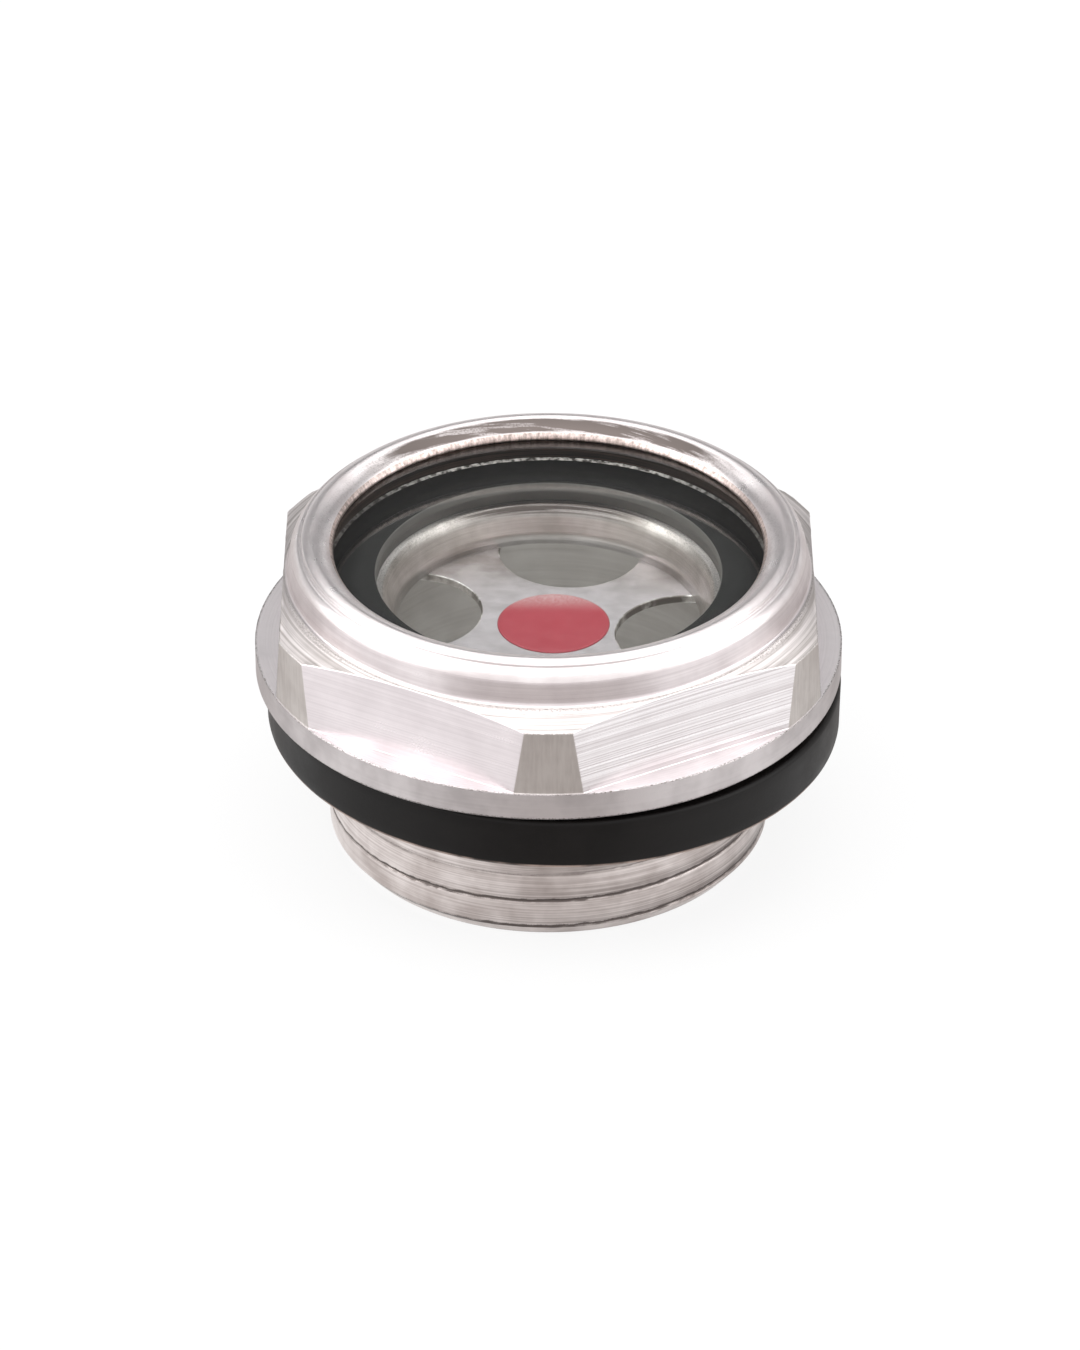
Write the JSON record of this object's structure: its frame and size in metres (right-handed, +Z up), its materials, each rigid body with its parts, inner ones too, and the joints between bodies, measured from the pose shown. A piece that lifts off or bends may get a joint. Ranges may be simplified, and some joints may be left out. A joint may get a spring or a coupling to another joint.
{
  "type": "screw-in tank level gauge",
  "caption": "Screw-in window plug for a tank: hexagon body with a rolled lip round a glass disc, a well with a scalloped reflector and red dot, and a threaded spigot with a flat packing.",
  "frame": {"origin": "centre of the spigot's open end, on the plane that the gauge stands on", "axes": "+Z up the axis to the window; one corner of the hexagon points along -Y"},
  "size_m": [0.035, 0.035, 0.02],
  "materials": {
    "body_aluminium": "turned and milled, satin",
    "window_glass": "clear, polished",
    "packing_rubber": "matt black",
    "reflector_aluminium": "pressed sheet, satin",
    "dot_enamel": "red enamel print",
    "tank_rubber": "matt black"
  },
  "bodies": {
    "root": {"body": "body_aluminium", "sight_glass": "window_glass", "glass_packing": "packing_rubber", "reflector_plate": "reflector_aluminium", "red_dot": "dot_enamel", "tank_packing": "tank_rubber"}
  },
  "joints": []
}
